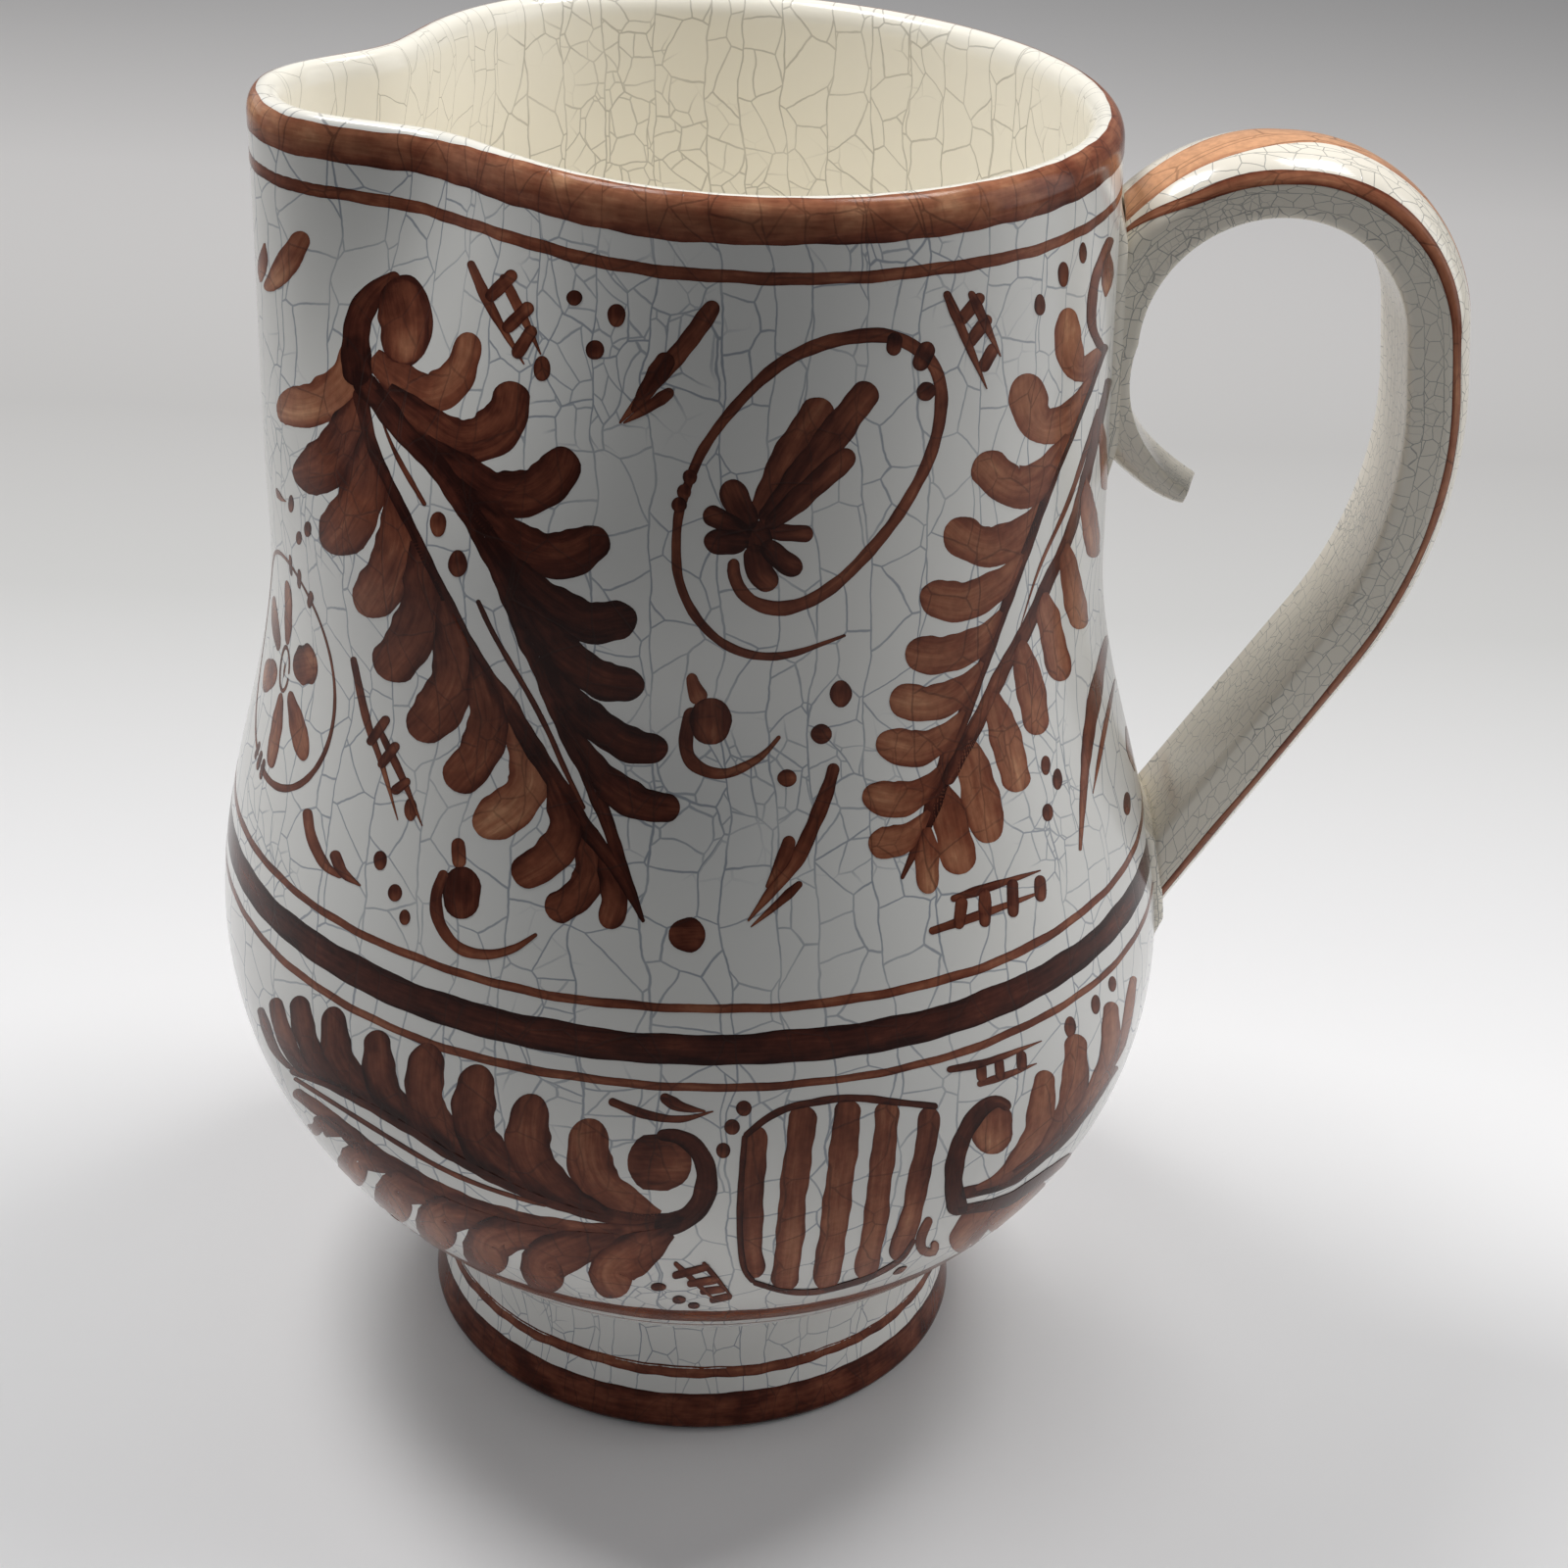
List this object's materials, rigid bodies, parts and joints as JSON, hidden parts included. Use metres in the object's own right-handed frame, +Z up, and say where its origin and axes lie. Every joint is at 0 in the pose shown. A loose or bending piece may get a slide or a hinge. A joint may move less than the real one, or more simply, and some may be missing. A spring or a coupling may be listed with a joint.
{
  "type": "jug",
  "caption": "Bellied earthenware jug with a pinched pouring lip, a turned foot and a pulled strap handle whose tail curls free inside the finger loop.",
  "frame": {"origin": "middle of the foot ring's flat face, on the table", "axes": "+Z up out of the mouth, +X towards the handle, -Y towards the viewer of the picture"},
  "size_m": [0.181, 0.1444, 0.2],
  "materials": {
    "white_glaze": "glossy crackled tin glaze",
    "cream_glaze": "glossy crackled cream glaze",
    "slip": "glazed clay slip",
    "brown_paint": "iron-brown brushwork under the glaze"
  },
  "bodies": {
    "root": {"body": "white_glaze", "foot_ring": "white_glaze", "foot_slip": "slip", "handle": "cream_glaze", "neck_slip": "slip", "belly_slip": "slip"}
  },
  "joints": []
}
